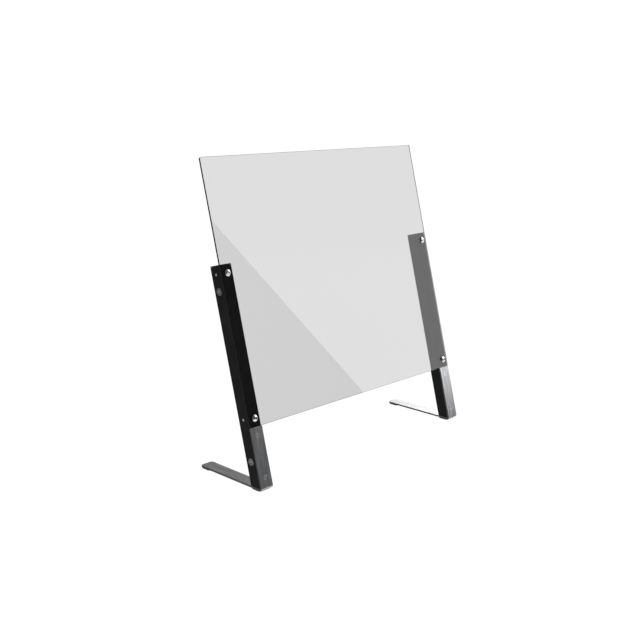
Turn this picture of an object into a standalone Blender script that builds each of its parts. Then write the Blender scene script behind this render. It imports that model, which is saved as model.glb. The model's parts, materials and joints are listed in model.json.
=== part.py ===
"""Desk privacy panel: a smoke-tinted clear sheet that leans back on two legs.

Each leg is a bent steel strip, whose long end lies on the desk as a foot, and a black hollow post behind it.
Metres, +Z up. The sheet's front faces -Y, the feet run back along +Y, and the object is symmetric about X = 0.
The origin is on the desk, under the middle of the whole object's box.
"""

import math

import bmesh
import bpy
from mathutils import Matrix, Vector

# The sheet
PANEL_WIDTH = 0.650
PANEL_HEIGHT = 0.548
SHEET = 0.004  # thickness of the clear sheet and of the steel strip, which are flush in front
PANEL_CORNER = 0.004
LEAN = math.radians(14.5)  # from upright

# The legs. Heights up a leg are measured along the lean, from the foot's upper face.
LEG_WIDTH = 0.0315
LEG_DEPTH = 0.0315  # strip and post together
PANEL_BOTTOM = 0.1263
POST_TOP = 0.459
FOOT_LENGTH = 0.195  # from the line where the strip's front meets the foot's upper face
BEND_INSIDE = 0.0015
TAIL_CORNER = 0.006
POST_WALL = 0.0025
POST_CORNER = 0.001
CAP_PLATE = 0.002
CAP_PLUG = 0.006
GAP = 0.0003  # left between pieces that touch
ROUND = 20  # sides of a round piece or bore

# The rubber pads under each foot
PAD_WIDTH = 0.030
PAD_LENGTH = 0.026
PAD_THICKNESS = 0.0022
PAD_CORNER = 0.005
FRONT_PAD_START = 0.007
TAIL_PAD_END = 0.002  # from the pad to the foot's end

# The screws: where they are up the leg, and their sizes
PANEL_SCREWS = {"bottom": 0.144, "top": 0.4405}
STRIP_SCREWS = {"bottom": 0.023, "top": 0.109}
SIDE_SCREWS = {"bottom": 0.0575, "top": 0.406}
M8_RADIUS = 0.004
M6_RADIUS = 0.003
DOME_RADIUS = 0.007
DOME_HEIGHT = 0.0042
DOME_RIM = 0.0008
PANEL_SCREW_LENGTH = 0.020
SIDE_SCREW_LENGTH = 0.016
STRIP_SCREW_LENGTH = 0.016
STRIP_SCREW_HEAD = 0.00575
SIDE_SCREW_HEAD = 0.00775
HEAD_SUNK = 0.0001  # how far a countersunk head lies below its face
SET_SCREW_LENGTH = 0.010
WASHER_RADIUS = 0.0066
WASHER_THICKNESS = 0.0008
M8_SOCKET = 0.005  # across the flats of the hexagon
M6_SOCKET = 0.004
SET_SOCKET = 0.003
SOCKET_DEPTH = 0.0025
PANEL_HOLE_RADIUS = 0.0048
BORE_CLEARANCE = 0.0003
BORE_END = 0.0015  # a blind bore is this much deeper than its screw

# The solid cores inside each post, which take the screws' threads
UPPER_CORE = (0.392, 0.450)
LOWER_CORE = (0.012, 0.160)

# Worked out
FOOT_TOP = PAD_THICKNESS + GAP + SHEET
POST_FRONT = SHEET + GAP
POST_MIDDLE = (POST_FRONT + LEG_DEPTH) / 2
CORE_FRONT = POST_FRONT + POST_WALL + GAP
CORE_BACK = LEG_DEPTH - POST_WALL - GAP
CORE_WIDTH = LEG_WIDTH - 2 * (POST_WALL + GAP)
SCREW_SEAT = -(WASHER_THICKNESS + 2 * GAP)  # depth of the underside of a panel screw's head
BEND_OUTSIDE = BEND_INSIDE + SHEET
BEND_CENTRE = (BEND_OUTSIDE + BEND_INSIDE * math.sin(LEAN)) / math.cos(LEAN)
FRONT_LINE = -(FOOT_LENGTH + BEND_CENTRE - BEND_OUTSIDE) / 2
SIDES = {"left": -1, "right": 1}


def clear_scene():
    for obj in list(bpy.data.objects):
        bpy.data.objects.remove(obj)


def material(name, color, roughness, metallic=0.0, alpha=1.0):
    made = bpy.data.materials.new(name)
    made.use_nodes = True
    shader = made.node_tree.nodes["Principled BSDF"]
    shader.inputs["Base Color"].default_value = (*color, 1.0)
    shader.inputs["Roughness"].default_value = roughness
    shader.inputs["Metallic"].default_value = metallic
    shader.inputs["Alpha"].default_value = alpha
    made.diffuse_color = (*color, alpha)
    return made


def mesh_from(bm, name):
    """Turns a bmesh of closed shapes into a mesh whose faces point out and whose round parts are smooth."""
    bmesh.ops.recalc_face_normals(bm, faces=bm.faces)
    mesh = bpy.data.meshes.new(name)
    bm.to_mesh(mesh)
    bm.free()
    mesh.shade_smooth()
    mesh.set_sharp_from_angle(angle=math.radians(30))
    return mesh


def rounded_rectangle(width, depth, radius, steps=3, centre=(0.0, 0.0)):
    """Points round a rectangle whose corners are arcs, or its four corners where the radius is 0."""
    if radius == 0:
        steps = 0
    points = []
    for corner, (sx, sy) in enumerate(((1, 1), (-1, 1), (-1, -1), (1, -1))):
        for step in range(steps + 1):
            angle = math.radians(90 * (corner + (step / steps if steps else 0)))
            x = sx * (width / 2 - radius) + radius * math.cos(angle)
            y = sy * (depth / 2 - radius) + radius * math.sin(angle)
            points.append((centre[0] + x, centre[1] + y))
    return points


def add_loft(bm, sections):
    """Adds a closed solid whose skin runs from section to section, each a ring of the same number of points."""
    rings = [[bm.verts.new(point) for point in section] for section in sections]
    count = len(rings[0])
    for low, high in zip(rings, rings[1:]):
        for i in range(count):
            bm.faces.new((low[i], low[(i + 1) % count], high[(i + 1) % count], high[i]))
    bm.faces.new(reversed(rings[0]))
    bm.faces.new(rings[-1])
    return rings


def add_prism(bm, outline, low, high):
    return add_loft(bm, [[(x, y, z) for x, y in outline] for z in (low, high)])


def add_turned(bm, profile, place=Matrix.Identity(4)):
    """Adds a solid of revolution. The profile runs from the axis out and back to the axis, as (radius, height)."""
    rings = []
    for radius, height in profile:
        count = ROUND if radius > 0 else 1
        angles = [2 * math.pi * i / ROUND for i in range(count)]
        points = [Vector((radius * math.cos(a), radius * math.sin(a), height)) for a in angles]
        rings.append([bm.verts.new(place @ point) for point in points])
    for one, other in zip(rings, rings[1:]):
        for i in range(ROUND):
            corners = [one[i % len(one)], one[(i + 1) % len(one)]]
            corners += [other[(i + 1) % len(other)], other[i % len(other)]]
            bm.faces.new(list(dict.fromkeys(corners)))


def add_rod(bm, start, end, radius):
    """Adds a cylinder between two points."""
    start, end = Vector(start), Vector(end)
    turn = (end - start).to_track_quat("Z", "Y").to_matrix().to_4x4()
    length = (end - start).length
    profile = [(0, 0), (radius, 0), (radius, length), (0, length)]
    add_turned(bm, profile, Matrix.Translation(start) @ turn)


def cut(blank, tools):
    """The blank's mesh with the tools' solids cut out of it. Both are bmeshes and are used up."""
    name = "cut"
    scene = bpy.context.scene.collection
    body = bpy.data.objects.new(name, mesh_from(blank, name))
    tool = bpy.data.objects.new(name + "_tool", mesh_from(tools, name + "_tool"))
    for obj in (body, tool):
        scene.objects.link(obj)
    boolean = body.modifiers.new("cut", "BOOLEAN")
    boolean.operation = "DIFFERENCE"
    boolean.solver = "EXACT"
    boolean.object = tool
    bpy.context.view_layer.update()
    graph = bpy.context.evaluated_depsgraph_get()
    result = bpy.data.meshes.new_from_object(body.evaluated_get(graph))
    for obj in (body, tool):
        old = obj.data
        bpy.data.objects.remove(obj)
        bpy.data.meshes.remove(old)
    result.shade_smooth()
    result.set_sharp_from_angle(angle=math.radians(30))
    return result


def place(name, mesh, finish, parent=None, location=(0, 0, 0), rotation=(0, 0, 0)):
    mesh.name = name
    obj = bpy.data.objects.new(name, mesh)
    bpy.context.scene.collection.objects.link(obj)
    obj.parent = parent
    obj.location = location
    obj.rotation_euler = rotation
    mesh.materials.clear()
    mesh.materials.append(finish)
    return obj


# Shapes. Those of the leaning pieces have X across, Y into the depth from the front face, and Z up the lean.


def panel_mesh():
    blank = bmesh.new()
    outline = rounded_rectangle(PANEL_WIDTH, PANEL_HEIGHT, PANEL_CORNER, 4)
    middle = PANEL_BOTTOM + PANEL_HEIGHT / 2
    add_loft(blank, [[(x, depth, middle + up) for x, up in outline] for depth in (SHEET, 0.0)])
    holes = bmesh.new()
    for side in SIDES.values():
        x = side * (PANEL_WIDTH - LEG_WIDTH) / 2
        for height in PANEL_SCREWS.values():
            add_rod(holes, (x, -SHEET, height), (x, 2 * SHEET, height), PANEL_HOLE_RADIUS)
    return cut(blank, holes)


def strip_outline():
    """The bent strip seen from its side, as (distance back from the front line, height above the desk)."""
    centre = Vector((BEND_CENTRE, FOOT_TOP + BEND_INSIDE))
    up = Vector((math.sin(LEAN), math.cos(LEAN)))
    back = Vector((math.cos(LEAN), -math.sin(LEAN)))
    front_line = Vector((0, FOOT_TOP))
    turns = [math.radians(-90 - 15 * i) for i in range(7)] + [-math.pi - LEAN]
    outside = [centre + BEND_OUTSIDE * Vector((math.cos(a), math.sin(a))) for a in turns]
    inside = [centre + BEND_INSIDE * Vector((math.cos(a), math.sin(a))) for a in turns]
    top = front_line + up * (PANEL_BOTTOM - GAP)
    tail = Vector((FOOT_LENGTH, FOOT_TOP - SHEET))
    return [tail, *outside, top, top + back * SHEET, *reversed(inside), tail + Vector((0, SHEET))]


def strip_mesh(side):
    blank = bmesh.new()
    middle = side * (PANEL_WIDTH - LEG_WIDTH) / 2
    edges = [middle - LEG_WIDTH / 2, middle + LEG_WIDTH / 2]
    add_loft(blank, [[(x, y, z) for y, z in strip_outline()] for x in edges])
    at_tail = [
        edge
        for edge in blank.edges
        if all(vert.co.y > FOOT_LENGTH - GAP for vert in edge.verts)
        and abs(edge.verts[0].co.z - edge.verts[1].co.z) > SHEET / 2
    ]
    bmesh.ops.bevel(blank, geom=at_tail, offset=TAIL_CORNER, segments=5, profile=0.5, affect="EDGES")
    sinks = bmesh.new()
    lean = Matrix.Translation((0, 0, FOOT_TOP)) @ Matrix.Rotation(-LEAN, 4, "X")
    for height in STRIP_SCREWS.values():
        facing = Matrix.Translation((middle, 0, height)) @ Matrix.Rotation(math.radians(90), 4, "X")
        add_turned(sinks, countersink(STRIP_SCREW_HEAD, M6_RADIUS, 2 * SHEET), lean @ facing)
    return cut(blank, sinks)


def countersink(head, radius, depth):
    """The turned profile of the hole for a countersunk screw. Height 0 is the face that its head is flush with."""
    bore = radius + BORE_CLEARANCE
    mouth = head + HEAD_SUNK + BORE_CLEARANCE
    return [(0, -depth), (bore, -depth), (bore, bore - mouth), (mouth + GAP, GAP), (0, GAP)]


def add_side_countersink(bm, side, height, depth):
    """Adds the shape of a side screw's hole, which opens on the leg's outer face in mid-depth."""
    mouth = Matrix.Translation((side * LEG_WIDTH / 2, POST_MIDDLE, height))
    outward = Matrix.Rotation(math.radians(side * 90), 4, "Y")
    add_turned(bm, countersink(SIDE_SCREW_HEAD, M8_RADIUS, depth), mouth @ outward)


def post_blank():
    """The post without its bores: a tube that stands level on the foot, with its front lower edge eased."""
    tube = bmesh.new()
    depth = LEG_DEPTH - POST_FRONT
    outline = rounded_rectangle(LEG_WIDTH, depth, POST_CORNER, 3, (0, POST_MIDDLE))
    foot = [(x, y, y * math.tan(LEAN) + GAP / math.cos(LEAN)) for x, y in outline]
    top = [(x, y, POST_TOP - CAP_PLATE - GAP) for x, y in outline]
    add_loft(tube, [foot, top])
    hollow = bmesh.new()
    bore = rounded_rectangle(LEG_WIDTH - 2 * POST_WALL, depth - 2 * POST_WALL, 0, 0, (0, POST_MIDDLE))
    add_prism(hollow, bore, -LEG_WIDTH, POST_TOP + LEG_WIDTH)
    ease = 0.0018
    wedge = [(POST_FRONT - ease, -ease), (POST_FRONT + ease, -ease)]
    wedge += [(POST_FRONT + ease, ease * 0.9), (POST_FRONT, 2.2 * ease), (POST_FRONT - ease, 2.2 * ease)]
    add_loft(hollow, [[(x, y, z) for y, z in wedge] for x in (-LEG_WIDTH, LEG_WIDTH)])
    return tube, hollow


def post_mesh(side):
    tube, hollow = post_blank()
    shell = cut(tube, hollow)
    blank = bmesh.new()
    blank.from_mesh(shell)
    bpy.data.meshes.remove(shell)
    bores = bmesh.new()
    inside = POST_FRONT + 2 * POST_WALL
    for height in PANEL_SCREWS.values():
        add_rod(bores, (0, 0, height), (0, inside, height), M8_RADIUS + BORE_CLEARANCE)
        add_side_rod(bores, side, height, M6_RADIUS + BORE_CLEARANCE, -POST_WALL, 2 * POST_WALL)
    for height in STRIP_SCREWS.values():
        add_rod(bores, (0, 0, height), (0, inside, height), M6_RADIUS + BORE_CLEARANCE)
    for height in SIDE_SCREWS.values():
        add_side_countersink(bores, side, height, 2 * POST_WALL)
    return cut(blank, bores)


def add_side_rod(bm, side, height, radius, start, end):
    """Adds a cylinder across the leg, in mid-depth, between two distances in from the leg's outer face."""
    outer = side * LEG_WIDTH / 2
    ends = [(outer - side * distance, POST_MIDDLE, height) for distance in (start, end)]
    add_rod(bm, *ends, radius)


def core_mesh(side, span):
    """A solid bar inside the post, between two heights, bored for each screw that reaches it."""
    blank, bores = bmesh.new(), bmesh.new()
    depth = CORE_BACK - CORE_FRONT
    outline = rounded_rectangle(CORE_WIDTH, depth, 0, 0, (0, (CORE_FRONT + CORE_BACK) / 2))
    add_prism(blank, outline, *span)
    held = [height for height in PANEL_SCREWS.values() if span[0] < height < span[1]]
    for height in held:
        end = SCREW_SEAT + PANEL_SCREW_LENGTH + BORE_END
        add_rod(bores, (0, 0, height), (0, end, height), M8_RADIUS + BORE_CLEARANCE)
    for height in STRIP_SCREWS.values():
        if span[0] < height < span[1]:
            end = STRIP_SCREW_LENGTH + BORE_END
            add_rod(bores, (0, 0, height), (0, end, height), M6_RADIUS + BORE_CLEARANCE)
    for height in SIDE_SCREWS.values():
        if span[0] < height < span[1]:
            add_side_countersink(bores, side, height, SIDE_SCREW_LENGTH + BORE_END)
    first = cut(blank, bores)
    blank, bores = bmesh.new(), bmesh.new()
    blank.from_mesh(first)
    bpy.data.meshes.remove(first)
    for height in held:
        add_side_rod(bores, side, height, M6_RADIUS + BORE_CLEARANCE, 0, LEG_WIDTH / 2)
    return cut(blank, bores)


def cap_mesh():
    bm = bmesh.new()
    depth = LEG_DEPTH - POST_FRONT
    plate = rounded_rectangle(LEG_WIDTH, depth, POST_CORNER, 3, (0, POST_MIDDLE))
    plug_depth = CORE_BACK - CORE_FRONT
    plug = rounded_rectangle(CORE_WIDTH, plug_depth, POST_CORNER, 3, (0, POST_MIDDLE))
    seat = POST_TOP - CAP_PLATE
    levels = [(plug, seat - CAP_PLUG), (plug, seat), (plate, seat), (plate, POST_TOP)]
    add_loft(bm, [[(x, y, z) for x, y in outline] for outline, z in levels])
    return mesh_from(bm, "post_cap")


def pad_mesh():
    bm = bmesh.new()
    eased = 0.0004
    sizes = [(2 * eased, 0.0), (0.0, eased), (0.0, PAD_THICKNESS)]
    add_loft(
        bm,
        [
            [(x, y, z) for x, y in rounded_rectangle(PAD_WIDTH - less, PAD_LENGTH - less, PAD_CORNER)]
            for less, z in sizes
        ],
    )
    return mesh_from(bm, "pad")


def add_hexagon(bm, across_flats, low, high):
    radius = across_flats / 2 / math.cos(math.radians(30))
    angles = [math.radians(60 * i) for i in range(6)]
    add_prism(bm, [(radius * math.cos(a), radius * math.sin(a)) for a in angles], low, high)


def shank(radius, length):
    """The turned profile of a screw's shank and tip, hanging from height 0, as (radius, height)."""
    tip = radius * 0.2
    return [(radius, 0), (radius, tip - length), (radius - tip, -length), (0, -length)]


def dome_screw_mesh():
    """A dome-head screw with a hexagon socket. Height 0 is the underside of its head."""
    rise = DOME_HEIGHT - DOME_RIM
    ball = (DOME_RADIUS**2 + rise**2) / (2 * rise)
    steps = 4
    reach = math.asin(DOME_RADIUS / ball)
    angles = [reach * step / steps for step in range(steps + 1)]
    dome = [(ball * math.sin(a), DOME_HEIGHT - ball + ball * math.cos(a)) for a in angles]
    blank, socket = bmesh.new(), bmesh.new()
    add_turned(blank, dome + [(DOME_RADIUS, 0)] + shank(M8_RADIUS, PANEL_SCREW_LENGTH))
    add_hexagon(socket, M8_SOCKET, DOME_HEIGHT - SOCKET_DEPTH, 2 * DOME_HEIGHT)
    return cut(blank, socket)


def countersunk_screw_mesh(head, radius, length, across_flats):
    """A countersunk screw with a hexagon socket. Height 0 is the face that its head is flush with."""
    blank, socket = bmesh.new(), bmesh.new()
    profile = [(0, -HEAD_SUNK), (head, -HEAD_SUNK), (radius, radius - head - HEAD_SUNK)]
    add_turned(blank, profile + shank(radius, length)[1:])
    add_hexagon(socket, across_flats, -HEAD_SUNK - SOCKET_DEPTH, head)
    return cut(blank, socket)


def set_screw_mesh():
    """A headless screw with a hexagon socket. Height 0 is its outer end."""
    blank, socket = bmesh.new(), bmesh.new()
    add_turned(blank, [(0, 0)] + shank(M6_RADIUS, SET_SCREW_LENGTH))
    add_hexagon(socket, SET_SOCKET, -SOCKET_DEPTH, SET_SOCKET)
    return cut(blank, socket)


def washer_mesh():
    """A soft ring. Height 0 is its face against the sheet."""
    bm = bmesh.new()
    hole = M8_RADIUS + BORE_CLEARANCE
    corners = [(hole, 0), (WASHER_RADIUS, 0), (WASHER_RADIUS, WASHER_THICKNESS), (hole, WASHER_THICKNESS)]
    angles = [2 * math.pi * i / ROUND for i in range(ROUND)]
    rings = [[bm.verts.new((r * math.cos(a), r * math.sin(a), z)) for a in angles] for r, z in corners]
    for one, other in zip(rings, rings[1:] + rings[:1]):
        for i in range(ROUND):
            after = (i + 1) % ROUND
            bm.faces.new((one[i], one[after], other[after], other[i]))
    return mesh_from(bm, "washer")


# Putting it together


def build_leg(name, side, lean, finishes, shared):
    middle = side * (PANEL_WIDTH - LEG_WIDTH) / 2
    outer = side * PANEL_WIDTH / 2
    steel, black, bar, screw, rubber = finishes
    place(f"foot_strip_{name}", strip_mesh(side), steel, None, (0, FRONT_LINE, 0))
    place(f"post_{name}", post_mesh(side), black, lean, (middle, 0, 0))
    place(f"post_cap_{name}", shared["cap"], black, lean, (middle, 0, 0))
    place(f"upper_core_{name}", core_mesh(side, UPPER_CORE), bar, lean, (middle, 0, 0))
    place(f"lower_core_{name}", core_mesh(side, LOWER_CORE), bar, lean, (middle, 0, 0))
    pads = {"front": FRONT_PAD_START + PAD_LENGTH / 2}
    pads["tail"] = FOOT_LENGTH - TAIL_PAD_END - PAD_LENGTH / 2
    for where, back in pads.items():
        place(f"{where}_pad_{name}", shared["pad"], rubber, None, (middle, FRONT_LINE + back, 0))
    forward = (math.radians(90), 0, 0)
    outward = (0, math.radians(side * 90), 0)
    for where, height in PANEL_SCREWS.items():
        seat = (middle, SCREW_SEAT, height)
        place(f"panel_screw_{name}_{where}", shared["panel_screw"], screw, lean, seat, forward)
        place(f"washer_{name}_{where}", shared["washer"], rubber, lean, (middle, -GAP, height), forward)
        end = (outer - side * GAP, POST_MIDDLE, height)
        place(f"set_screw_{name}_{where}", shared["set_screw"], screw, lean, end, outward)
    for where, height in STRIP_SCREWS.items():
        place(f"strip_screw_{name}_{where}", shared["strip_screw"], screw, lean, (middle, 0, height), forward)
    for where, height in SIDE_SCREWS.items():
        mouth = (outer, POST_MIDDLE, height)
        place(f"side_screw_{name}_{where}", shared["side_screw"], screw, lean, mouth, outward)


def main():
    clear_scene()
    sheet = material("smoke_tinted_glass", (0.62, 0.62, 0.63), 0.02, alpha=0.35)
    steel = material("brushed_stainless_steel", (0.55, 0.55, 0.56), 0.35, metallic=1.0)
    black = material("black_anodised_aluminium", (0.012, 0.012, 0.013), 0.5)
    bar = material("sawn_aluminium", (0.6, 0.6, 0.61), 0.45, metallic=1.0)
    screw = material("polished_stainless_steel", (0.75, 0.75, 0.76), 0.15, metallic=1.0)
    rubber = material("black_rubber", (0.02, 0.02, 0.02), 0.85)

    lean = bpy.data.objects.new("lean_frame", None)
    bpy.context.scene.collection.objects.link(lean)
    lean.location = (0, FRONT_LINE, FOOT_TOP)
    lean.rotation_euler = (-LEAN, 0, 0)

    place("panel", panel_mesh(), sheet, lean)
    shared = {
        "cap": cap_mesh(),
        "pad": pad_mesh(),
        "panel_screw": dome_screw_mesh(),
        "side_screw": countersunk_screw_mesh(SIDE_SCREW_HEAD, M8_RADIUS, SIDE_SCREW_LENGTH, M8_SOCKET),
        "strip_screw": countersunk_screw_mesh(STRIP_SCREW_HEAD, M6_RADIUS, STRIP_SCREW_LENGTH, M6_SOCKET),
        "set_screw": set_screw_mesh(),
        "washer": washer_mesh(),
    }
    for name, side in SIDES.items():
        build_leg(name, side, lean, (steel, black, bar, screw, rubber), shared)
    bpy.context.view_layer.update()


main()
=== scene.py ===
"""Looks for a desk privacy panel: a smoke-tinted sheet that leans back on black posts with bent steel feet."""

import json
import math

import bmesh
import bpy
from mathutils import Matrix, Vector


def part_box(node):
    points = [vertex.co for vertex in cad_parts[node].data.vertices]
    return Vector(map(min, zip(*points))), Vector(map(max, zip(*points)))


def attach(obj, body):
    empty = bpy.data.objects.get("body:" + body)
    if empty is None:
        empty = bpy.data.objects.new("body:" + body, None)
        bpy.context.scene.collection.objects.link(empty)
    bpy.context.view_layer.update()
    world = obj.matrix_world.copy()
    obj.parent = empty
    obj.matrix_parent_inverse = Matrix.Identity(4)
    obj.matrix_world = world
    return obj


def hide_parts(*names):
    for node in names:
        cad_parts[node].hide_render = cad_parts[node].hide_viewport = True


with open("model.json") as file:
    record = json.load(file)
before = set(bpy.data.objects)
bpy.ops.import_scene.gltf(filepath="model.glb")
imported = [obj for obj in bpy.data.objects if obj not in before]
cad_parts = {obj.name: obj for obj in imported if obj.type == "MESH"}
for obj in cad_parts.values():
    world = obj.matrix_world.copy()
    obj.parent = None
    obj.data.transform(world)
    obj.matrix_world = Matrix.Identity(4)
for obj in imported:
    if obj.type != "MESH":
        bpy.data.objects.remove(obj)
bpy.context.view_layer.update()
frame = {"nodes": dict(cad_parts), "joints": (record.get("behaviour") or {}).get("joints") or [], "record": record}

# Sizes in metres that the frame's boxes don't give
SHEET = 0.004  # the sheet's and the steel strip's thickness
FOOT_LENGTH = 0.195  # from the strip's front line to the foot's end
BEND_INSIDE = 0.0015
TAIL_CORNER = 0.006
SHEET_CORNER = 0.004
POST_WALL = 0.0025
POST_CORNER = 0.001
PAD_CORNER = 0.005
SIDES = {"left": -1, "right": 1}
LEVELS = ("top", "bottom")

# Sizes of the screws
M8 = {"radius": 0.004, "pitch": 0.00125, "socket": 0.005}
M6 = {"radius": 0.003, "pitch": 0.001, "socket": 0.004}
GRUB = {"radius": 0.003, "pitch": 0.001, "socket": 0.003}
DOME_RADIUS = 0.007
DOME_HEIGHT = 0.0042
DOME_RIM = 0.0008
SIDE_SCREW_HEAD = 0.00775
STRIP_SCREW_HEAD = 0.00575
HEAD_SUNK = 0.0001
SOCKET_DEPTH = 0.0025
FLAT_SOCKET_DEPTH = 0.0012  # the flat-faced screws' sockets are shallow, with the drill's 118 degree point below
DRILL_POINT = 0.6
CLEARANCE = 0.0003
HOLE_RADIUS = 0.0048  # the holes in the sheet
COUNTERSUNK_LENGTH = 0.016
GRUB_LENGTH = 0.010
THREAD_DEPTH = 0.61  # of the pitch

# The leaning frame: X across, Y into the depth from the front face, Z up the lean
screw_axis = Vector(frame["joints"][0]["axis"]).normalized()
LEAN = math.atan2(screw_axis.z, -screw_axis.y)
foot_low, foot_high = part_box("foot_strip_left")
FOOT_TOP = foot_low.z + SHEET
FRONT_LINE = foot_high.y - FOOT_LENGTH
LEG_WIDTH = foot_high.x - foot_low.x
leaning = Matrix.Translation((0, FRONT_LINE, FOOT_TOP)) @ Matrix.Rotation(-LEAN, 4, "X")


def lean_box(node):
    """A CAD node's lowest and highest corners in the leaning frame."""
    back = leaning.inverted()
    points = [back @ vertex.co for vertex in frame["nodes"][node].data.vertices]
    low = Vector([min(point[i] for point in points) for i in range(3)])
    high = Vector([max(point[i] for point in points) for i in range(3)])
    return low, high


def leg_middle(side):
    low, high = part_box(f"foot_strip_{side}")
    return (low.x + high.x) / 2


# Colours and nodes


def linear(hex_color):
    """An sRGB hex colour as linear RGBA."""
    channels = [int(hex_color[i : i + 2], 16) / 255 for i in (1, 3, 5)]
    return (*[c / 12.92 if c <= 0.04045 else ((c + 0.055) / 1.055) ** 2.4 for c in channels], 1.0)


def add(tree, kind, settings=None, inputs=None):
    """Adds a node, sets its properties, and gives each named or numbered input its value or its link."""
    node = tree.nodes.new(kind)
    for name, value in (settings or {}).items():
        setattr(node, name, value)
    for key, value in (inputs or {}).items():
        if isinstance(value, bpy.types.NodeSocket):
            tree.links.new(value, node.inputs[key])
        else:
            node.inputs[key].default_value = value
    return node


def finish_named(name, **sockets):
    """A material with its shader's own sockets set. Underscores in a socket's name stand for spaces."""
    material = bpy.data.materials.new(name)
    material.use_nodes = True
    tree = material.node_tree
    shader = tree.nodes["Principled BSDF"]
    for socket, value in sockets.items():
        shader.inputs[socket.replace("_", " ")].default_value = value
    return material, tree, shader


# Materials


def smoke_tinted_glass():
    """Float glass, 4 mm, body-tinted smoke grey and fire polished: clear, cool and flawless, darker the longer the
    light's way through it, which is why its edges are nearly black."""
    material, tree, shader = finish_named(
        "smoke_tinted_float_glass",
        Base_Color=linear("#ffffff"),
        Roughness=0.0,
        IOR=1.5,
        Transmission_Weight=1.0,
    )
    tint = add(
        tree, "ShaderNodeVolumeAbsorption", inputs={"Color": linear("#b9b7b8"), "Density": 178.0}
    )
    output = tree.nodes["Material Output"]
    tree.links.new(tint.outputs[0], output.inputs["Volume"])
    material.diffuse_color = linear("#c9c7c8")
    return material


def textured(tree, shader, tone, colours, wear, dullness, relief, bump, stops=(0.0, 1.0), spread=(0.0, 1.0)):
    """Gives the surface its colour, its roughness and its relief, each from a pattern. The colours lie at the stops of
    the tone, the dullness at the ends of the wear's spread, and bump is how strong and how deep the relief is."""
    ramp = add(tree, "ShaderNodeValToRGB", inputs={"Fac": tone})
    for element, stop, colour in zip(ramp.color_ramp.elements, stops, colours):
        element.position = stop
        element.color = linear(colour)
    tree.links.new(ramp.outputs["Color"], shader.inputs["Base Color"])
    (least, most), (smooth, dull) = spread, dullness
    given = {"Value": wear, "From Min": least, "From Max": most, "To Min": smooth, "To Max": dull}
    rough = add(tree, "ShaderNodeMapRange", inputs=given)
    tree.links.new(rough.outputs[0], shader.inputs["Roughness"])
    raised = add(tree, "ShaderNodeBump", inputs={"Height": relief, "Strength": bump[0], "Distance": bump[1]})
    tree.links.new(raised.outputs[0], shader.inputs["Normal"])


def noise_in(tree, size, detail):
    """A noise whose patches are this many metres across, on the piece's own coordinates."""
    place = add(tree, "ShaderNodeTexCoord").outputs["Object"]
    return add(tree, "ShaderNodeTexNoise", inputs={"Vector": place, "Scale": 1 / size, "Detail": detail}).outputs[0]


def glass_edge_painted_dark():
    """The sheet's sawn edge, ground with a fine wheel: satin, with the wheel's fine grain, and nearly black. The black
    is
    painted shade: it stands in for the darkness that the light's long way through the tinted glass gives the edges."""
    material, tree, shader = finish_named("ground_and_sealed_glass_edge", Specular_IOR_Level=0.25, IOR=1.5)
    # Grinding marks about 0.3 mm apart
    marks = noise_in(tree, 0.0003, 2.0)
    # Painted shade: the near-black tones stand in for the darkness of the light's long way through the tinted glass
    textured(tree, shader, marks, ("#0e0e0f", "#1b1b1c"), marks, (0.3, 0.45), marks, (0.2, 0.00002))
    return material


def brushed_stainless():
    """Stainless flat bar, belt-brushed along its length: soft grey with long fine scratches, glossier across them."""
    material, tree, shader = finish_named("brushed_stainless_flat_bar", Metallic=1.0)
    place = add(tree, "ShaderNodeTexCoord").outputs["Object"]
    scratches = []
    # Belt scratches are about 0.2 mm apart, and the belt leaves streaks 1 mm and 3.5 mm wide that show from a distance
    for across, along in ((0.0002, 0.03), (0.001, 0.05), (0.0035, 0.08)):
        stretched = add(
            tree,
            "ShaderNodeMapping",
            inputs={"Vector": place, "Scale": (1 / across, 1 / along, 1 / along)},
        )
        noise = add(
            tree,
            "ShaderNodeTexNoise",
            inputs={"Vector": stretched.outputs[0], "Scale": 1.0, "Detail": 2.0, "Roughness": 0.6},
        )
        scratches.append(noise.outputs[0])
    fine, middle, wide = scratches
    both = add(tree, "ShaderNodeMath", {"operation": "ADD"}, {0: fine, 1: middle}).outputs[0]
    streaks = add(tree, "ShaderNodeMath", {"operation": "ADD"}, {0: middle, 1: wide}).outputs[0]
    streaks = add(tree, "ShaderNodeMath", {"operation": "MULTIPLY"}, {0: streaks, 1: 0.5}).outputs[0]
    textured(
        tree,
        shader,
        streaks,
        ("#8a8b8d", "#bdbec0"),
        both,
        (0.3, 0.42),
        both,
        (0.15, 0.00003),
        stops=(0.36, 0.64),
        spread=(0.6, 1.4),
    )
    return material


def sheared_stainless():
    """The strip's long edges as the shears left them: duller than the brushed faces, with a torn grain, and darker.
    The dullness and the grain are the shear's own, the darker colour is painted shade for the dim surroundings that
    these side faces mirror.
    """
    material, tree, shader = finish_named("sheared_stainless_edge", Metallic=1.0)
    # Tears about 0.4 mm apart
    tears = noise_in(tree, 0.0004, 2.0)
    # Painted shade: these tones are darker than the brushed faces' to stand in for the dim light the side faces mirror
    textured(tree, shader, tears, ("#77787a", "#98999b"), tears, (0.4, 0.55), tears, (0.2, 0.00004))
    return material


def black_anodised():
    """Extruded aluminium tube, bead-blasted and anodised black: even, nearly black, with a dull satin bloom."""
    material, tree, shader = finish_named("black_anodised_aluminium", Specular_IOR_Level=0.14, IOR=1.5)
    # Blasting leaves pits about 0.15 mm across, and the dye clouds 40 mm across
    pits = noise_in(tree, 0.00015, 1.0)
    cloud = noise_in(tree, 0.04, 3.0)
    textured(
        tree,
        shader,
        cloud,
        ("#131314", "#19191a"),
        cloud,
        (0.46, 0.56),
        pits,
        (0.2, 0.00003),
        stops=(0.35, 0.65),
        spread=(0.3, 0.7),
    )
    return material


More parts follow.
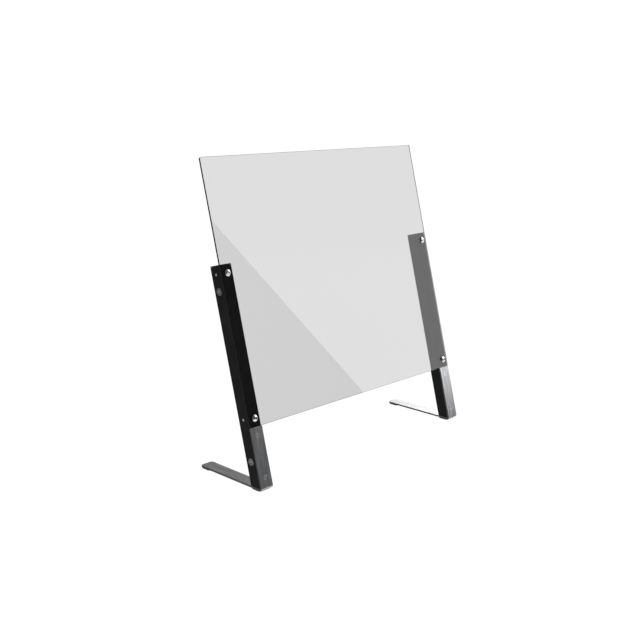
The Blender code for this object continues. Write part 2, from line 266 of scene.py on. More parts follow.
def moulded_nylon():
    """Glass-filled nylon, injection moulded in a spark-eroded tool: a fine even grain and a low sheen."""
    material, tree, shader = finish_named("black_moulded_nylon", Specular_IOR_Level=0.3, IOR=1.53)
    place = add(tree, "ShaderNodeTexCoord").outputs["Object"]
    # Eroded craters about 0.4 mm across
    grain = add(tree, "ShaderNodeTexVoronoi", inputs={"Vector": place, "Scale": 1 / 0.0004}).outputs["Distance"]
    textured(tree, shader, grain, ("#131314", "#151516"), grain, (0.55, 0.7), grain, (0.3, 0.00004))
    return material


def turned_stainless(name, dark, light, smooth, dull):
    """Steel screw, turned on a lathe: faint rings that follow the tool round the head. The polished ones are bright,
    the others satin, and the plated ones pale."""
    material, tree, shader = finish_named(name, Metallic=1.0)
    turned = add(tree, "ShaderNodeAttribute", {"attribute_name": "turned"}).outputs["Vector"]
    parts = add(tree, "ShaderNodeSeparateXYZ", inputs={0: turned})
    across = add(tree, "ShaderNodeMath", {"operation": "ADD"}, {0: parts.outputs[0], 1: parts.outputs[2]}).outputs[0]
    # The tool advances about 0.12 mm a turn
    rings = add(
        tree,
        "ShaderNodeTexNoise",
        {"noise_dimensions": "1D"},
        {"W": across, "Scale": 1 / 0.00012, "Detail": 1.0},
    ).outputs[0]
    textured(tree, shader, rings, (dark, light), rings, (smooth, dull), rings, (0.1, 0.00001), stops=(0.3, 0.7))
    return material


def soft_rubber():
    """Black rubber, pressed in a plain mould: dead matt, with a dusty bloom in cloudy patches."""
    material, tree, shader = finish_named("black_moulded_rubber", Specular_IOR_Level=0.3, IOR=1.52)
    # Bloom in patches about 6 mm across on a skin with a 0.3 mm grain
    bloom = noise_in(tree, 0.006, 4.0)
    skin = noise_in(tree, 0.0003, 2.0)
    textured(tree, shader, bloom, ("#0d0d0d", "#222221"), bloom, (0.75, 0.9), skin, (0.3, 0.00004))
    return material


def sawn_aluminium():
    """Aluminium bar sawn to length: bright, with bands across it where the blade passed."""
    material, tree, shader = finish_named("sawn_aluminium_bar", Metallic=1.0)
    place = add(tree, "ShaderNodeTexCoord").outputs["Object"]
    # Saw marks about 0.8 mm apart
    stretched = add(tree, "ShaderNodeMapping", inputs={"Vector": place, "Scale": (40.0, 40.0, 1 / 0.0008)})
    marks = add(
        tree, "ShaderNodeTexNoise", inputs={"Vector": stretched.outputs[0], "Scale": 1.0, "Detail": 3.0}
    ).outputs[0]
    textured(tree, shader, marks, ("#a9abad", "#d3d5d6"), marks, (0.35, 0.5), marks, (0.3, 0.0001))
    return material


# Mesh helpers


def rounded_rectangle(width, depth, radius, steps=6, centre=(0.0, 0.0)):
    """Points round a rectangle whose corners are arcs."""
    points = []
    for corner, (sx, sy) in enumerate(((1, 1), (-1, 1), (-1, -1), (1, -1))):
        for step in range(steps + 1):
            angle = math.radians(90 * (corner + step / steps))
            x = sx * (width / 2 - radius) + radius * math.cos(angle)
            y = sy * (depth / 2 - radius) + radius * math.sin(angle)
            points.append((centre[0] + x, centre[1] + y))
    return points


def add_loft(bm, sections):
    """Adds a closed solid whose skin runs from section to section, each a ring of the same number of points."""
    rings = [[bm.verts.new(point) for point in section] for section in sections]
    count = len(rings[0])
    for low, high in zip(rings, rings[1:]):
        for i in range(count):
            bm.faces.new((low[i], low[(i + 1) % count], high[(i + 1) % count], high[i]))
    bm.faces.new(reversed(rings[0]))
    bm.faces.new(rings[-1])


def add_turned(bm, profile, place, sides=48):
    """Adds a solid of revolution. The profile runs from the axis out and back to the axis, as (radius, height)."""
    rings = []
    for radius, height in profile:
        count = sides if radius > 0 else 1
        angles = [2 * math.pi * i / sides for i in range(count)]
        points = [place @ Vector((radius * math.cos(a), radius * math.sin(a), height)) for a in angles]
        rings.append([bm.verts.new(point) for point in points])
    for one, other in zip(rings, rings[1:]):
        for i in range(sides):
            corners = [one[i % len(one)], one[(i + 1) % len(one)], other[(i + 1) % len(other)], other[i % len(other)]]
            bm.faces.new(list(dict.fromkeys(corners)))


def piece_from(bm, name):
    """An object at the origin from a bmesh of closed shapes, whose faces it points outwards."""
    bmesh.ops.recalc_face_normals(bm, faces=bm.faces)
    mesh = bpy.data.meshes.new(name)
    bm.to_mesh(mesh)
    bm.free()
    made = bpy.data.objects.new(name, mesh)
    bpy.context.scene.collection.objects.link(made)
    return made


def applied(piece):
    """Turns the piece's modifiers into its mesh."""
    bpy.context.view_layer.update()
    graph = bpy.context.evaluated_depsgraph_get()
    mesh = bpy.data.meshes.new_from_object(piece.evaluated_get(graph))
    piece.modifiers.clear()
    old = piece.data
    piece.data = mesh
    mesh.name = old.name
    bpy.data.meshes.remove(old)
    return piece


def shaded(piece):
    """Shades round faces smooth and keeps flat faces truly flat up to their eased edges."""
    piece.data.shade_smooth()
    piece.data.set_sharp_from_angle(angle=math.radians(38))
    weighted = piece.modifiers.new("flats", "WEIGHTED_NORMAL")
    weighted.weight = 100
    weighted.keep_sharp = True
    return applied(piece)


def eased(piece, width, segments=2, angle=40):
    """Rounds every edge sharper than the angle."""
    bevel = piece.modifiers.new("eased", "BEVEL")
    bevel.width = width
    bevel.segments = segments
    bevel.limit_method = "ANGLE"
    bevel.angle_limit = math.radians(angle)
    return applied(piece)


def cut(piece, tools):
    """Cuts the bmesh's solids out of the piece."""
    tool = piece_from(tools, "tool")
    boolean = piece.modifiers.new("cut", "BOOLEAN")
    boolean.operation = "DIFFERENCE"
    boolean.solver = "EXACT"
    boolean.object = tool
    applied(piece)
    bpy.data.objects.remove(tool)
    return piece


def hand_over(piece, material, body, slot, *nodes):
    """Gives the piece its material and its body, and hides the CAD nodes that it stands for. The slot is not used."""
    shaded(piece)
    piece.data.materials.clear()
    piece.data.materials.append(material)
    for face in piece.data.polygons:
        face.material_index = 0
    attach(piece, body)
    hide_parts(*nodes)
    return piece


# The sheet, the strips, the posts and their caps, and the pads


def countersink(head, radius, depth):
    """The turned profile of the hole for a countersunk screw. Height 0 is the face that its head is flush with."""
    bore = radius + CLEARANCE
    mouth = head + HEAD_SUNK + CLEARANCE
    return [(0, -depth), (bore, -depth), (bore, bore - mouth), (mouth + CLEARANCE, CLEARANCE), (0, CLEARANCE)]


def facing_front(x, height):
    """Where a screw that goes in from the front has its face: Z points out of the front face."""
    return leaning @ Matrix.Translation((x, 0, height)) @ Matrix.Rotation(math.radians(90), 4, "X")


def facing_outside(side, height):
    """Where a screw that goes in from the leg's outer side has its face."""
    low, high = lean_box(f"post_{side}")
    sign = SIDES[side]
    outer = high.x if sign > 0 else low.x
    turn = Matrix.Rotation(math.radians(sign * 90), 4, "Y")
    return leaning @ Matrix.Translation((outer, (low.y + high.y) / 2, height)) @ turn


def screw_height(node):
    """How far up the lean a screw's axis is."""
    low, high = lean_box(node)
    return (low.z + high.z) / 2


def make_sheet(material, edge_material):
    low, high = lean_box("panel")
    width, height = high.x - low.x, high.z - low.z
    middle = (low.z + high.z) / 2
    slab = bmesh.new()
    outline = rounded_rectangle(width, height, SHEET_CORNER, 8)
    add_loft(slab, [[(x, depth, middle + up) for x, up in outline] for depth in (SHEET, 0.0)])
    slab.transform(leaning)
    sheet = piece_from(slab, "tinted_sheet")
    holes = bmesh.new()
    for side in SIDES:
        for level in LEVELS:
            through = facing_front(leg_middle(side), screw_height(f"washer_{side}_{level}"))
            profile = [(0, -2 * SHEET), (HOLE_RADIUS, -2 * SHEET), (HOLE_RADIUS, SHEET), (0, SHEET)]
            add_turned(holes, profile, through, 64)
    cut(sheet, holes)
    eased(sheet, 0.0003, 2)
    hand_over(sheet, material, "frame", "sheet", "panel")
    # The edges and hole walls get the near-black edge, painted shade for the tinted glass's dark edges
    sheet.data.materials.append(edge_material)
    front = leaning.to_3x3() @ Vector((0, -1, 0))
    for face in sheet.data.polygons:
        if abs(face.normal.dot(front)) < 0.99:
            face.material_index = 1


def strip_outline():
    """The bent strip seen from its side, as (distance back from the front line, height)."""
    outside = BEND_INSIDE + SHEET
    centre = Vector(((outside + BEND_INSIDE * math.sin(LEAN)) / math.cos(LEAN), FOOT_TOP + BEND_INSIDE))
    up = Vector((math.sin(LEAN), math.cos(LEAN)))
    back = Vector((math.cos(LEAN), -math.sin(LEAN)))
    steps = 20
    turn = math.radians(90) + LEAN
    angles = [-math.radians(90) - turn * i / steps for i in range(steps + 1)]
    outer = [centre + outside * Vector((math.cos(a), math.sin(a))) for a in angles]
    inner = [centre + BEND_INSIDE * Vector((math.cos(a), math.sin(a))) for a in angles]
    top = Vector((0, FOOT_TOP)) + up * (lean_box("panel")[0].z - CLEARANCE)
    tail = Vector((FOOT_LENGTH, FOOT_TOP - SHEET))
    return [tail, *outer, top, top + back * SHEET, *reversed(inner), tail + Vector((0, SHEET))]


def make_strip(side, material, edge_material):
    bar = bmesh.new()
    low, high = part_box(f"foot_strip_{side}")
    add_loft(bar, [[(x, FRONT_LINE + y, z) for y, z in strip_outline()] for x in (low.x, high.x)])
    tail_edges = [
        edge
        for edge in bar.edges
        if all(vert.co.y > high.y - CLEARANCE for vert in edge.verts)
        and abs(edge.verts[0].co.z - edge.verts[1].co.z) > SHEET / 2
    ]
    bmesh.ops.bevel(bar, geom=tail_edges, offset=TAIL_CORNER, segments=10, profile=0.5, affect="EDGES")
    strip = piece_from(bar, f"brushed_strip_{side}")
    eased(strip, 0.0003, 3)
    sinks = bmesh.new()
    for level in LEVELS:
        mouth = facing_front(leg_middle(side), screw_height(f"strip_screw_{side}_{level}"))
        add_turned(sinks, countersink(STRIP_SCREW_HEAD, M6["radius"], 2 * SHEET), mouth, 64)
    cut(strip, sinks)
    hand_over(strip, material, "frame", "strip", f"foot_strip_{side}")
    # The long side faces get the sheared edge, whose darker colour is painted shade
    strip.data.materials.append(edge_material)
    for face in strip.data.polygons:
        if abs(face.normal.x) > 0.99:
            face.material_index = 1


def make_post(side, material):
    low, high = lean_box(f"post_{side}")
    middle = ((low.x + high.x) / 2, (low.y + high.y) / 2)
    width, depth = high.x - low.x, high.y - low.y
    level = CLEARANCE / math.cos(LEAN)
    outline = rounded_rectangle(width, depth, POST_CORNER, 6, middle)
    tube = bmesh.new()
    add_loft(tube, [[(x, y, y * math.tan(LEAN) + level) for x, y in outline], [(x, y, high.z) for x, y in outline]])
    ease = 0.0018
    front = low.y
    wedge = [(front - ease, -ease), (front + ease, -ease), (front + ease, ease * 0.9), (front, 2.2 * ease)]
    wedge.append((front - ease, 2.2 * ease))
    hollow = bmesh.new()
    add_loft(hollow, [[(x, y, z) for y, z in wedge] for x in (2 * low.x - high.x, 2 * high.x - low.x)])
    inside = rounded_rectangle(width - 2 * POST_WALL, depth - 2 * POST_WALL, POST_CORNER / 2, 3, middle)
    add_loft(hollow, [[(x, y, z) for x, y in inside] for z in (-width, high.z + width)])
    for bm in (tube, hollow):
        bm.transform(leaning)
    post = piece_from(tube, f"post_tube_{side}")
    cut(post, hollow)
    eased(post, 0.0002, 2, 50)
    bores = bmesh.new()
    for where in LEVELS:
        for screw, sizes in (("washer", M8), ("strip_screw", M6)):
            bore = sizes["radius"] + CLEARANCE
            through = facing_front(middle[0], screw_height(f"{screw}_{side}_{where}"))
            deep = -front - 2 * POST_WALL
            add_turned(bores, [(0, deep), (bore, deep), (bore, 0), (0, 0)], through, 32)
        bore = GRUB["radius"] + CLEARANCE
        through = facing_outside(side, screw_height(f"set_screw_{side}_{where}"))
        profile = [(0, -2 * POST_WALL), (bore, -2 * POST_WALL), (bore, -CLEARANCE), (bore + CLEARANCE, 0)]
        add_turned(bores, profile + [(bore + 2 * CLEARANCE, CLEARANCE), (0, CLEARANCE)], through)
        through = facing_outside(side, screw_height(f"side_screw_{side}_{where}"))
        add_turned(bores, countersink(SIDE_SCREW_HEAD, M8["radius"], 2 * POST_WALL), through, 64)
    cut(post, bores)
    hand_over(post, material, "frame", "post", f"post_{side}")


def make_cap(side, material):
    low, high = lean_box(f"post_cap_{side}")
    wide, deep = high.x - low.x, high.y - low.y
    middle = ((low.x + high.x) / 2, (low.y + high.y) / 2)
    plug_wide, plug_deep = wide - 2 * (POST_WALL + CLEARANCE), deep - 2 * (POST_WALL + CLEARANCE)
    seat = lean_box(f"post_{side}")[1].z + CLEARANCE
    rim = 0.0005
    levels = [(plug_wide - 2 * rim, plug_deep - 2 * rim, low.z), (plug_wide, plug_deep, low.z + 2 * rim)]
    levels += [(plug_wide, plug_deep, seat), (wide - rim / 2, deep - rim / 2, seat), (wide, deep, seat + rim / 4)]
    for step in range(5):
        angle = math.radians(90 * step / 4)
        inset = 2 * rim * (1 - math.cos(angle))
        levels.append((wide - inset, deep - inset, high.z - rim * (1 - math.sin(angle))))
    cap = bmesh.new()
    add_loft(cap, [[(x, y, z) for x, y in rounded_rectangle(w, d, POST_CORNER, 6, middle)] for w, d, z in levels])
    cap.transform(leaning)
    made = applied(piece_from(cap, f"post_end_cap_{side}"))
    hand_over(made, material, "frame", "cap", f"post_cap_{side}")


def make_pads(side, material):
    """The two pads under a foot, one mesh each, with a rounded lower edge."""
    for where in ("front", "tail"):
        low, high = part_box(f"{where}_pad_{side}")
        wide, long = high.x - low.x, high.y - low.y
        middle = ((low.x + high.x) / 2, (low.y + high.y) / 2)
        rim = 0.0007
        levels = []
        for step in range(5):
            angle = math.radians(90 * step / 4)
            levels.append((2 * rim * (1 - math.sin(angle)), low.z + rim * (1 - math.cos(angle))))
        levels += [(0.0, high.z - rim / 3), (rim / 3, high.z)]
        pad = bmesh.new()
        sections = []
        for inset, z in levels:
            outline = rounded_rectangle(wide - inset, long - inset, PAD_CORNER - inset / 2, 8, middle)
            sections.append([(x, y, z) for x, y in outline])
        add_loft(pad, sections)
        made = applied(piece_from(pad, f"{where}_foot_pad_{side}"))
        hand_over(made, material, "frame", "rubber", f"{where}_pad_{side}")


# Screws and washers


def turning_tree():
    """Turns a half profile round Z, cuts its flats and its thread, and sets a copy at every point.

    The profile is a row of points, X its radius and Z its height, from the lower end of the axis to the upper. Its
    'flats' attribute is 1 where the ring is a hexagon, and its 'thread' attribute is 1 where it is threaded. Each point
    has an 'outward' direction for the piece's Z and a 'twist' about it."""
    tree = bpy.data.node_groups.new("turned_pieces", "GeometryNodeTree")
    for name, kind in (
        ("Geometry", "NodeSocketGeometry"),
        ("Profile", "NodeSocketObject"),
        ("Sides", "NodeSocketInt"),
        ("Across Flats", "NodeSocketFloat"),
        ("Pitch", "NodeSocketFloat"),
        ("Thread Depth", "NodeSocketFloat"),
        ("Material", "NodeSocketMaterial"),
    ):
        tree.interface.new_socket(name, in_out="INPUT", socket_type=kind)
    tree.interface.new_socket("Geometry", in_out="OUTPUT", socket_type="NodeSocketGeometry")
    given = tree.nodes.new("NodeGroupInput").outputs

    # A sheet of points: one column for each side, one row for each point of the profile
    profile = add(tree, "GeometryNodeObjectInfo", inputs={"Object": given["Profile"]}).outputs["Geometry"]
    rows = add(tree, "GeometryNodeAttributeDomainSize", inputs={0: profile}).outputs["Point Count"]
    columns = add(tree, "ShaderNodeMath", {"operation": "ADD"}, {0: given["Sides"], 1: 1.0}).outputs[0]
    sheet = add(
        tree, "GeometryNodeMeshGrid", inputs={"Size X": 1.0, "Size Y": 1.0, "Vertices X": columns, "Vertices Y": rows}
    ).outputs["Mesh"]
    place = add(tree, "ShaderNodeSeparateXYZ", inputs={0: add(tree, "GeometryNodeInputPosition").outputs[0]})
    turn = add(tree, "ShaderNodeMath", {"operation": "ADD"}, {0: place.outputs[0], 1: 0.5}).outputs[0]
    angle = add(tree, "ShaderNodeMath", {"operation": "MULTIPLY"}, {0: turn, 1: 2 * math.pi}).outputs[0]
    part = add(tree, "ShaderNodeMath", {"operation": "ADD"}, {0: place.outputs[1], 1: 0.5}).outputs[0]
    last = add(tree, "ShaderNodeMath", {"operation": "SUBTRACT"}, {0: rows, 1: 1.0}).outputs[0]
    row = add(tree, "ShaderNodeMath", {"operation": "MULTIPLY"}, {0: part, 1: last}).outputs[0]
    row = add(tree, "ShaderNodeMath", {"operation": "ROUND"}, {0: row}).outputs[0]
    point = add(
        tree,
        "GeometryNodeSampleIndex",
        {"data_type": "FLOAT_VECTOR"},
        {"Geometry": profile, "Value": add(tree, "GeometryNodeInputPosition").outputs[0], "Index": row},
    ).outputs["Value"]
    point = add(tree, "ShaderNodeSeparateXYZ", inputs={0: point})
    radius, height = point.outputs[0], point.outputs[2]
    marks = {}
    for mark in ("flats", "thread"):
        named = add(tree, "GeometryNodeInputNamedAttribute", {"data_type": "FLOAT"}, {"Name": mark}).outputs[0]
        marks[mark] = add(
            tree, "GeometryNodeSampleIndex", {"data_type": "FLOAT"}, {"Geometry": profile, "Value": named, "Index": row}
        ).outputs["Value"]

    # The hexagon's radius at this angle, and the thread's depth, which climbs one pitch a turn
    corner = math.radians(30)
    off_flat = add(tree, "ShaderNodeMath", {"operation": "WRAP"}, {0: angle, 1: corner, 2: -corner}).outputs[0]
    spread = add(tree, "ShaderNodeMath", {"operation": "COSINE"}, {0: off_flat}).outputs[0]
    half = add(tree, "ShaderNodeMath", {"operation": "MULTIPLY"}, {0: given["Across Flats"], 1: 0.5}).outputs[0]
    hexagon = add(tree, "ShaderNodeMath", {"operation": "DIVIDE"}, {0: half, 1: spread}).outputs[0]
    radius = add(tree, "ShaderNodeMix", inputs={0: marks["flats"], 2: radius, 3: hexagon}).outputs[0]
    climb = add(tree, "ShaderNodeMath", {"operation": "DIVIDE"}, {0: height, 1: given["Pitch"]}).outputs[0]
    phase = add(tree, "ShaderNodeMath", {"operation": "SUBTRACT"}, {0: climb, 1: turn}).outputs[0]
    groove = add(tree, "ShaderNodeMath", {"operation": "PINGPONG"}, {0: phase, 1: 0.5}).outputs[0]
    groove = add(tree, "ShaderNodeMath", {"operation": "MULTIPLY"}, {0: groove, 1: 2.0}).outputs[0]
    groove = add(tree, "ShaderNodeMath", {"operation": "MULTIPLY"}, {0: groove, 1: marks["thread"]}).outputs[0]
    groove = add(tree, "ShaderNodeMath", {"operation": "MULTIPLY"}, {0: groove, 1: given["Thread Depth"]}).outputs[0]
    radius = add(tree, "ShaderNodeMath", {"operation": "SUBTRACT"}, {0: radius, 1: groove}).outputs[0]

    across = add(tree, "ShaderNodeMath", {"operation": "COSINE"}, {0: angle}).outputs[0]
    across = add(tree, "ShaderNodeMath", {"operation": "MULTIPLY"}, {0: across, 1: radius}).outputs[0]
    along = add(tree, "ShaderNodeMath", {"operation": "SINE"}, {0: angle}).outputs[0]
    along = add(tree, "ShaderNodeMath", {"operation": "MULTIPLY"}, {0: along, 1: radius}).outputs[0]
    turned = add(tree, "ShaderNodeCombineXYZ", inputs={0: across, 1: along, 2: height}).outputs[0]
    tool = add(tree, "ShaderNodeCombineXYZ", inputs={0: radius, 1: angle, 2: height}).outputs[0]
    marked = add(
        tree,
        "GeometryNodeStoreNamedAttribute",
        {"data_type": "FLOAT_VECTOR"},
        {"Geometry": sheet, "Name": "turned", "Value": tool},
    ).outputs[0]
    moved = add(tree, "GeometryNodeSetPosition", inputs={"Geometry": marked, "Position": turned}).outputs[0]
    closed = add(tree, "GeometryNodeMergeByDistance", inputs={"Geometry": moved, "Distance": 0.000002}).outputs[0]

    # A copy at every point
    outward = add(tree, "GeometryNodeInputNamedAttribute", {"data_type": "FLOAT_VECTOR"}, {"Name": "outward"})
    twist = add(tree, "GeometryNodeInputNamedAttribute", {"data_type": "FLOAT"}, {"Name": "twist"})
    aligned = add(tree, "FunctionNodeAlignRotationToVector", {"axis": "Z"}, {"Vector": outward.outputs[0]})
    about = add(tree, "FunctionNodeAxisAngleToRotation", inputs={"Axis": (0, 0, 1), "Angle": twist.outputs[0]})
    facing = add(
        tree, "FunctionNodeRotateRotation", {"rotation_space": "LOCAL"}, {0: aligned.outputs[0], 1: about.outputs[0]}
    )
    copies = add(
        tree,
        "GeometryNodeInstanceOnPoints",
        inputs={"Points": given["Geometry"], "Instance": closed, "Rotation": facing.outputs[0]},
    )
    real = add(tree, "GeometryNodeRealizeInstances", inputs={"Geometry": copies.outputs[0]}).outputs[0]
    finished = add(
        tree, "GeometryNodeSetMaterial", inputs={"Geometry": real, "Material": given["Material"]}
    ).outputs[0]
    output = tree.nodes.new("NodeGroupOutput")
    tree.links.new(finished, output.inputs[0])
    return tree


def helper_object(name, points, marks):
    """An object of loose points with float or vector attributes."""
    mesh = bpy.data.meshes.new(name)
    mesh.from_pydata([tuple(point) for point in points], [], [])
    for mark, values in marks.items():
        kind = "FLOAT_VECTOR" if isinstance(values[0], Vector) else "FLOAT"
        attribute = mesh.attributes.new(mark, kind, "POINT")
        for item, value in zip(attribute.data, values):
            if kind == "FLOAT_VECTOR":
                item.vector = value
            else:
                item.value = value
    made = bpy.data.objects.new(name, mesh)
    bpy.context.scene.collection.objects.link(made)
    return made


def make_turned(name, tree, profile, places, material, sizes, sides=48):
    """One mesh of turned pieces. The profile's points are (radius, height, flats, thread), and the places matrices."""
    rows = helper_object(
        name + "_profile",
        [(radius, 0, height) for radius, height, _, _ in profile],
        {"flats": [float(point[2]) for point in profile], "thread": [float(point[3]) for point in profile]},
    )
    outward = [(place.to_3x3() @ Vector((0, 0, 1))).normalized() for place in places]
    twist = [0.05 * i for i in range(len(places))]
    points = [place.translation for place in places]
    piece = helper_object(name, points, {"outward": outward, "twist": twist})
    modifier = piece.modifiers.new("turned", "NODES")
    modifier.node_group = tree
    values = {
        "Profile": rows,
        "Sides": sides,
        "Across Flats": sizes["socket"],
        "Pitch": sizes["pitch"],
        "Thread Depth": THREAD_DEPTH * sizes["pitch"],
        "Material": material,
    }
    for socket in tree.interface.items_tree:
        if socket.in_out == "INPUT" and socket.name in values:
            modifier[socket.identifier] = values[socket.name]
    applied(piece)
    bpy.data.objects.remove(rows)
    return piece


def shank_rows(sizes, length, top):
    """A threaded shank, from its tip's middle up to the height where its head begins."""
    radius, pitch = sizes["radius"], sizes["pitch"]
    tip = 0.2 * radius
    core = radius - THREAD_DEPTH * pitch
    rows = [(0, -length, 0, 0), (core - tip, -length, 0, 0), (radius - tip / 2, tip - length, 0, 0.5)]
    plain = pitch
    count = round((length - tip - plain + top) / pitch * 8)
    for i in range(1, count + 1):
        height = -length + tip + (length - tip - plain + top) * i / count
        rows.append((radius, height, 0, 1 if i < count - 4 else (count - i) / 5))
    rows.append((radius, top, 0, 0))
    return rows


def socket_rows(sizes, face, slope, depth, point):
    """A hexagon socket with a chamfered mouth, from the head's face down to its floor, where the drill left a cone.
    The slope is how much the face drops from the socket's middle to its mouth."""
    corner = sizes["socket"] / 2 / math.cos(math.radians(30))
    chamfer = 0.0003
    return [
        (corner + chamfer, face - slope, 0, 0),
        (corner, face - slope - chamfer * 0.8, 1, 0),
        (corner, face - depth, 1, 0),
        (0, face - depth - corner * point, 0, 0),
    ]


def dome_screw_profile(length):
    rim = 0.0003
    rise = DOME_HEIGHT - DOME_RIM
    ball = (DOME_RADIUS**2 + rise**2) / (2 * rise)
    mouth = M8["socket"] / 2 / math.cos(math.radians(30)) + 0.0003
    rows = shank_rows(M8, length, 0)
    for step in range(5):
        angle = math.radians(90 * step / 4)
        rows.append((DOME_RADIUS - rim * (1 - math.sin(angle)), rim * (1 - math.cos(angle)), 0, 0))
    reach, inner = math.asin(DOME_RADIUS / ball), math.asin(mouth / ball)
    steps = 10
    for step in range(steps):
        angle = reach + (inner - reach) * step / steps
        rows.append((ball * math.sin(angle), DOME_HEIGHT - ball + ball * math.cos(angle), 0, 0))
    return rows + socket_rows(M8, DOME_HEIGHT, ball * (1 - math.cos(inner)), SOCKET_DEPTH, 0.25)


def countersunk_profile(head, sizes, length):
    rim = 0.0001
    rows = shank_rows(sizes, length, sizes["radius"] - head - HEAD_SUNK)
    rows += [(head - rim, -HEAD_SUNK - 2 * rim, 0, 0), (head, -HEAD_SUNK - rim, 0, 0), (head - rim, -HEAD_SUNK, 0, 0)]
    return rows + socket_rows(sizes, -HEAD_SUNK, 0, FLAT_SOCKET_DEPTH, DRILL_POINT)


def grub_profile(length):
    rows = shank_rows(GRUB, length, -0.0004)
    rows += [(GRUB["radius"] - 0.0004, 0, 0, 0)]
    return rows + socket_rows(GRUB, 0, 0, FLAT_SOCKET_DEPTH, DRILL_POINT)


def washer_profile(inside, outside, thickness):
    """A ring with a rounded outer edge, round from its lower inner corner and back to it."""
    rows = [(inside, 0, 0, 0)]
    rim = thickness / 2
    for step in range(9):
        angle = math.radians(-90 + 180 * step / 8)
        rows.append((outside - rim + rim * math.cos(angle), rim + rim * math.sin(angle), 0, 0))
    return rows + [(inside, thickness, 0, 0), (inside, 0, 0, 0)]


def make_fasteners(tree, bright, satin, dull, plated, rubber):
    washer_low, washer_high = lean_box("washer_left_top")
    head_seat = lean_box("panel_screw_left_top")[0].y + DOME_HEIGHT
    shank = lean_box("panel_screw_left_top")[1].y - head_seat
    plain = {"socket": 0.001, "pitch": 0.001}
    ring_radius, ring_height = (washer_high.x - washer_low.x) / 2, washer_high.y - washer_low.y
    rubber_ring = washer_profile(M8["radius"] + CLEARANCE, ring_radius, ring_height)
    bodies = frame["record"]["behaviour"]["bodies"]
    body_of = {node: body for body, nodes in bodies.items() for node in nodes}
    for i, side in enumerate(SIDES):
        x = leg_middle(side)
        for j, level in enumerate(LEVELS):
            tag = f"{side}_{level}"
            height = screw_height(f"washer_{tag}")
            seat = facing_front(x, height) @ Matrix.Translation((0, 0, -head_seat))
            seat = seat @ Matrix.Rotation(0.9 * i + 0.5 * j, 4, "Z")
            screw = make_turned(f"dome_screw_{tag}", tree, dome_screw_profile(shank), [seat], bright, M8)
            hand_over(screw, bright, body_of[f"panel_screw_{tag}"], "bright_screw", f"panel_screw_{tag}")
            seat = facing_front(x, height) @ Matrix.Translation((0, 0, -washer_high.y))
            ring = make_turned(f"soft_washer_{tag}", tree, rubber_ring, [seat], rubber, plain)
            hand_over(ring, rubber, body_of[f"washer_{tag}"], "rubber", f"washer_{tag}")
    kinds = {
        "side_screw": (countersunk_profile(SIDE_SCREW_HEAD, M8, COUNTERSUNK_LENGTH), dull, "side_screw", M8),
        "strip_screw": (countersunk_profile(STRIP_SCREW_HEAD, M6, COUNTERSUNK_LENGTH), satin, "bright_screw", M6),
        "set_screw": (grub_profile(GRUB_LENGTH), plated, "side_screw", GRUB),
    }
    for kind, (profile, material, slot, sizes) in kinds.items():
        for side in SIDES:
            nodes = [f"{kind}_{side}_{level}" for level in LEVELS]
            heights = [screw_height(node) for node in nodes]
            if kind == "strip_screw":
                places = [facing_front(leg_middle(side), height) for height in heights]
            else:
                places = [facing_outside(side, height) for height in heights]
            if kind == "set_screw":
                places = [place @ Matrix.Translation((0, 0, -CLEARANCE)) for place in places]
            screws = make_turned(f"{kind}s_{side}", tree, profile, places, material, sizes)
            hand_over(screws, material, "frame", slot, *nodes)


# The studio


def aimed(place, target, roll=0.0):
    """A matrix at place whose -Z points at the target, as a camera's and a light's does."""
    turn = (Vector(target) - Vector(place)).to_track_quat("-Z", "Y").to_matrix().to_4x4()
    return Matrix.Translation(place) @ turn @ Matrix.Rotation(roll, 4, "Z")


def make_camera():
    camera = bpy.data.cameras.new("camera")
    camera.lens = 54.34
    camera.sensor_width = 36
    made = bpy.data.objects.new("camera", camera)
    bpy.context.scene.collection.objects.link(made)
    made.location = (-1.5356, FRONT_LINE - 1.3484, FOOT_TOP + 0.7727)
    made.rotation_euler = (math.radians(90 - 13.14), 0, math.radians(-45.61))
    bpy.context.scene.camera = made
    return made


def make_soft_light(name, place, size, radiance):
    """A rectangular soft light that the camera itself doesn't see, given the brightness of its face."""
    light = bpy.data.lights.new(name, "AREA")
    light.shape = "RECTANGLE"
    light.size, light.size_y = size
    light.energy = radiance * math.pi * size[0] * size[1]
    made = bpy.data.objects.new(name, light)
    bpy.context.scene.collection.objects.link(made)
    made.matrix_world = place
    made.visible_camera = False
    made.visible_transmission = False
    return made


def make_glare(camera):
    """The large soft light that the sheet mirrors. Its long edge is placed so that the glare ends on a slanting line,
    and its short edge just under the sheet, so that the strips only catch its end."""
    eye = camera.location
    normal = leaning.to_3x3() @ Vector((0, -1, 0))
    mirrored_eye = eye - 2 * (eye - leaning.translation).dot(normal) * normal
    upper, lower = (
        (leaning @ Vector((x, 0, up)) - mirrored_eye).normalized() for x, up in ((-0.3177, 0.5399), (0.0024, 0.1410))
    )
    along = (lower - upper).normalized()
    middle = (upper + lower).normalized()
    across = middle.cross(along).normalized()
    distance = 3.0
    past_upper, past_lower, width = 0.55, 0.175, 0.8
    half = distance * math.tan(upper.angle(lower) / 2)
    length = 2 * half + past_upper + past_lower
    centre = mirrored_eye + distance * middle + across * width / 2 + along * (past_lower - past_upper) / 2
    turn = Matrix((along, across, middle)).transposed()
    make_soft_light("glare_light", Matrix.Translation(centre) @ turn.to_4x4(), (length, width), 2.4)


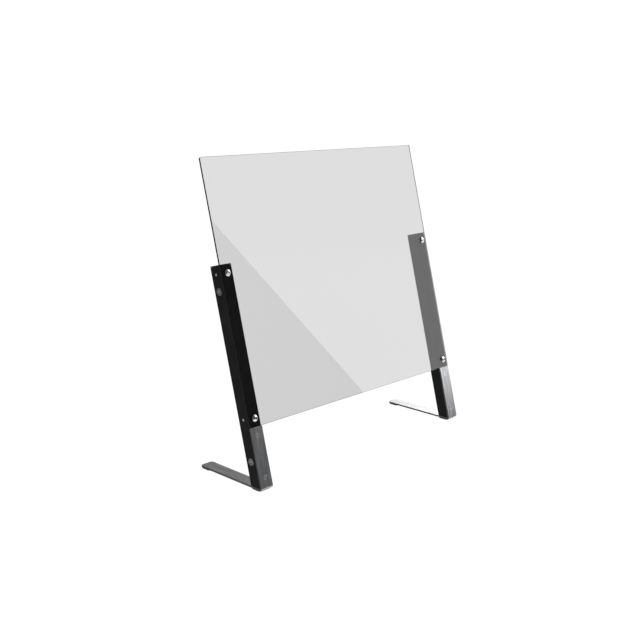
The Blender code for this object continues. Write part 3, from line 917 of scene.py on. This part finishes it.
def make_studio():
    camera = make_camera()
    make_glare(camera)
    scene = bpy.context.scene
    scene.view_settings.view_transform = "Standard"

    make_soft_light("foot_light", aimed((2.38, 1.06, 1.2), (0.31, -0.05, 0)), (1.5, 0.9), 3.2)
    make_soft_light("left_light", aimed((-2.6, -0.5, 0.55), (-0.32, 0, 0.3)), (0.8, 0.8), 2.0)
    make_soft_light("side_light", aimed((2.4, 0.35, 1.9), (0, 0, 0.4)), (2.2, 2.0), 3.0)

    floor = bmesh.new()
    reach = 12.0
    corners = [(-reach, -reach, 0), (reach, -reach, 0), (reach, reach, 0), (-reach, reach, 0)]
    floor.faces.new([floor.verts.new(corner) for corner in corners])
    made = piece_from(floor, "floor")
    paper, tree, shader = finish_named(
        "white_paper", Base_Color=linear("#303030"), Roughness=1.0, Emission_Strength=1.0
    )
    shader.inputs["Emission Color"].default_value = linear("#ffffff")
    shader.inputs["Specular IOR Level"].default_value = 0.0
    made.data.materials.append(paper)
    made.visible_glossy = False

    # The room is white to the eye. In reflections the floor and the back are bright and the front is dim, as a studio
    # with its lights in boxes is
    world = bpy.data.worlds.new("studio")
    world.use_nodes = True
    scene.world = world
    tree = world.node_tree
    tree.nodes.clear()
    rays = add(tree, "ShaderNodeLightPath")
    mirrored = add(tree, "ShaderNodeMath", {"operation": "MINIMUM"}, {0: rays.outputs["Glossy Depth"], 1: 1.0})
    way = add(tree, "ShaderNodeSeparateXYZ", inputs={0: add(tree, "ShaderNodeTexCoord").outputs["Generated"]})
    # Brightness by direction: the back against the front, below the horizon or not, steeply down, and down at the back
    ranges = {
        "back": (1, -0.6, 0.6, 0.1, 0.38),
        "under": (2, 0.03, -0.05, 0.0, 1.0),
        "floor_shine": (2, -0.2, -0.6, 0.22, 1.5),
        "shade": (1, -0.1, 0.3, 1.0, 0.28),
    }
    parts = {}
    for part, (axis, start, end, first, last) in ranges.items():
        given = {"Value": way.outputs[axis], "From Min": start, "From Max": end, "To Min": first, "To Max": last}
        parts[part] = add(tree, "ShaderNodeMapRange", inputs=given).outputs[0]
    shine = add(
        tree, "ShaderNodeMath", {"operation": "MULTIPLY"}, {0: parts["floor_shine"], 1: parts["shade"]}
    ).outputs[0]
    strength = add(tree, "ShaderNodeMix", inputs={0: parts["under"], 2: parts["back"], 3: shine}).outputs[0]
    dim = add(tree, "ShaderNodeBackground", inputs={"Strength": strength})
    white = add(tree, "ShaderNodeBackground", inputs={"Color": linear("#ffffff"), "Strength": 1.05})
    # Only what is mirrored is dim. What is seen past the sheet or through it is white
    either = add(
        tree,
        "ShaderNodeMixShader",
        inputs={0: mirrored.outputs[0], 1: white.outputs[0], 2: dim.outputs[0]},
    )
    output = add(tree, "ShaderNodeOutputWorld")
    tree.links.new(either.outputs[0], output.inputs[0])


def main():
    glass = smoke_tinted_glass()
    steel = brushed_stainless()
    sheared = sheared_stainless()
    black = black_anodised()
    nylon = moulded_nylon()
    rubber = soft_rubber()
    bright = turned_stainless("polished_stainless", "#c9c9cb", "#dededf", 0.1, 0.18)
    plated = turned_stainless("zinc_plated_steel", "#dcdddf", "#ededee", 0.35, 0.45)
    dull = turned_stainless("turned_stainless", "#bcbdbf", "#d0d1d2", 0.3, 0.4)
    satin = turned_stainless("satin_stainless", "#b4b5b7", "#c8c9ca", 0.32, 0.42)
    bar = sawn_aluminium()

    make_sheet(glass, glass_edge_painted_dark())
    for side in SIDES:
        make_strip(side, steel, sheared)
        make_post(side, black)
        make_cap(side, nylon)
        make_pads(side, rubber)
        for core in ("upper_core", "lower_core"):
            node = frame["nodes"][f"{core}_{side}"]
            node.data.materials.clear()
            node.data.materials.append(bar)
    tree = turning_tree()
    make_fasteners(tree, bright, satin, dull, plated, rubber)
    bpy.data.node_groups.remove(tree)
    make_studio()


main()
